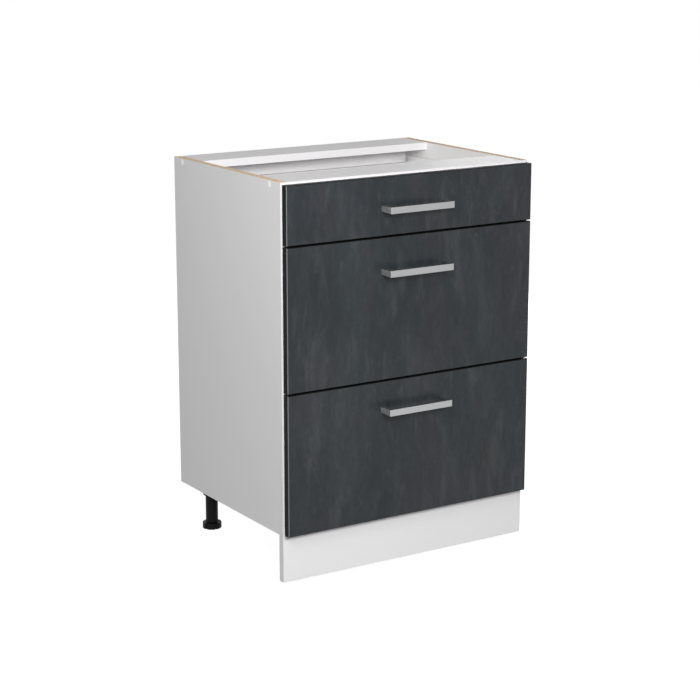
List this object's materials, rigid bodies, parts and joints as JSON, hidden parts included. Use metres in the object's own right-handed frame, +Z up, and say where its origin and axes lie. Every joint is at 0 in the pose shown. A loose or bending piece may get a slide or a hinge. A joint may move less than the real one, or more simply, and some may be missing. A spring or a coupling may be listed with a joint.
{
  "type": "base cabinet with drawers",
  "caption": "Kitchen base cabinet with a white carcass, dark slate-look drawer fronts, bow handles, drawers on roller runners, a plinth and levelling feet.",
  "frame": {"origin": "on the floor, under the middle of the whole unit, handles included", "axes": "+Z up, +Y towards the back (the drawer fronts face -Y), +X to the right"},
  "size_m": [0.6018, 0.497, 0.818],
  "materials": {
    "white_board": "matt white melamine, bare chipboard on the cut top edges of the sides",
    "back_sheet": "thin fibreboard, white on both faces",
    "front_board": "satin dark grey slate print with fine upright streaks",
    "handle_metal": "fine brushed satin",
    "drawer_steel": "smooth white coating",
    "drawer_board": "matt white melamine",
    "bracket_steel": "bright zinc",
    "roller_nylon": "smooth off-white nylon",
    "leg_plastic": "fine-grained black",
    "clip_plastic": "fine-grained black",
    "cap_plastic": "smooth white"
  },
  "bodies": {
    "carcass": {"left_side_panel": "white_board", "right_side_panel": "white_board", "bottom_panel": "white_board", "front_rail": "white_board", "rear_rail": "white_board", "back_panel": "back_sheet", "plinth_panel": "white_board", "cover_caps": "cap_plastic", "leg_sockets": "leg_plastic", "leg_tubes": "leg_plastic", "plinth_clips": "clip_plastic", "runner_1_left": "drawer_steel", "runner_1_right": "drawer_steel", "runner_2_left": "drawer_steel", "runner_2_right": "drawer_steel", "runner_3_left": "drawer_steel", "runner_3_right": "drawer_steel"},
    "drawer_1": {"drawer_1_front": "front_board", "drawer_1_handle": "handle_metal", "drawer_1_left_side": "drawer_steel", "drawer_1_right_side": "drawer_steel", "drawer_1_bottom": "drawer_board", "drawer_1_back": "drawer_board", "drawer_1_front_brackets": "bracket_steel"},
    "front_rollers_1": {"runner_1_front_rollers": "roller_nylon"},
    "rear_rollers_1": {"drawer_1_rear_rollers": "roller_nylon"},
    "drawer_2": {"drawer_2_front": "front_board", "drawer_2_handle": "handle_metal", "drawer_2_left_side": "drawer_steel", "drawer_2_right_side": "drawer_steel", "drawer_2_bottom": "drawer_board", "drawer_2_back": "drawer_board", "drawer_2_front_brackets": "bracket_steel"},
    "front_rollers_2": {"runner_2_front_rollers": "roller_nylon"},
    "rear_rollers_2": {"drawer_2_rear_rollers": "roller_nylon"},
    "drawer_3": {"drawer_3_front": "front_board", "drawer_3_handle": "handle_metal", "drawer_3_left_side": "drawer_steel", "drawer_3_right_side": "drawer_steel", "drawer_3_bottom": "drawer_board", "drawer_3_back": "drawer_board", "drawer_3_front_brackets": "bracket_steel"},
    "front_rollers_3": {"runner_3_front_rollers": "roller_nylon"},
    "rear_rollers_3": {"drawer_3_rear_rollers": "roller_nylon"},
    "foot_front_left": {"front_left_foot": "leg_plastic"},
    "foot_front_right": {"front_right_foot": "leg_plastic"},
    "foot_rear_left": {"rear_left_foot": "leg_plastic"},
    "foot_rear_right": {"rear_right_foot": "leg_plastic"}
  },
  "joints": [
    {"name": "drawer_1_slide", "type": "slide", "parent": "carcass", "child": "drawer_1", "axis": [0, -1, 0], "range_m": [0, 0.3]},
    {"name": "front_rollers_1_turn", "type": "hinge", "parent": "carcass", "child": "front_rollers_1", "pos_m": [0, -0.1805, 0.7137], "axis": [1, 0, 0], "continuous": true},
    {"name": "rear_rollers_1_turn", "type": "hinge", "parent": "drawer_1", "child": "rear_rollers_1", "pos_m": [0, 0.1905, 0.7115], "axis": [1, 0, 0], "continuous": true},
    {"name": "drawer_2_slide", "type": "slide", "parent": "carcass", "child": "drawer_2", "axis": [0, -1, 0], "range_m": [0, 0.3]},
    {"name": "front_rollers_2_turn", "type": "hinge", "parent": "carcass", "child": "front_rollers_2", "pos_m": [0, -0.1805, 0.4352], "axis": [1, 0, 0], "continuous": true},
    {"name": "rear_rollers_2_turn", "type": "hinge", "parent": "drawer_2", "child": "rear_rollers_2", "pos_m": [0, 0.1905, 0.433], "axis": [1, 0, 0], "continuous": true},
    {"name": "drawer_3_slide", "type": "slide", "parent": "carcass", "child": "drawer_3", "axis": [0, -1, 0], "range_m": [0, 0.3]},
    {"name": "front_rollers_3_turn", "type": "hinge", "parent": "carcass", "child": "front_rollers_3", "pos_m": [0, -0.1805, 0.1382], "axis": [1, 0, 0], "continuous": true},
    {"name": "rear_rollers_3_turn", "type": "hinge", "parent": "drawer_3", "child": "rear_rollers_3", "pos_m": [0, 0.1905, 0.136], "axis": [1, 0, 0], "continuous": true},
    {"name": "foot_front_left_height", "type": "slide", "parent": "carcass", "child": "foot_front_left", "axis": [0, 0, -1], "range_m": [0, 0.015]},
    {"name": "foot_front_right_height", "type": "slide", "parent": "carcass", "child": "foot_front_right", "axis": [0, 0, -1], "range_m": [0, 0.015]},
    {"name": "foot_rear_left_height", "type": "slide", "parent": "carcass", "child": "foot_rear_left", "axis": [0, 0, -1], "range_m": [0, 0.015]},
    {"name": "foot_rear_right_height", "type": "slide", "parent": "carcass", "child": "foot_rear_right", "axis": [0, 0, -1], "range_m": [0, 0.015]}
  ],
  "couplings": [
    {"joint": "front_rollers_1_turn", "follows": "drawer_1_slide", "rad_per_m": 117.65},
    {"joint": "rear_rollers_1_turn", "follows": "drawer_1_slide", "rad_per_m": 117.65},
    {"joint": "front_rollers_2_turn", "follows": "drawer_2_slide", "rad_per_m": 117.65},
    {"joint": "rear_rollers_2_turn", "follows": "drawer_2_slide", "rad_per_m": 117.65},
    {"joint": "front_rollers_3_turn", "follows": "drawer_3_slide", "rad_per_m": 117.65},
    {"joint": "rear_rollers_3_turn", "follows": "drawer_3_slide", "rad_per_m": 117.65}
  ]
}
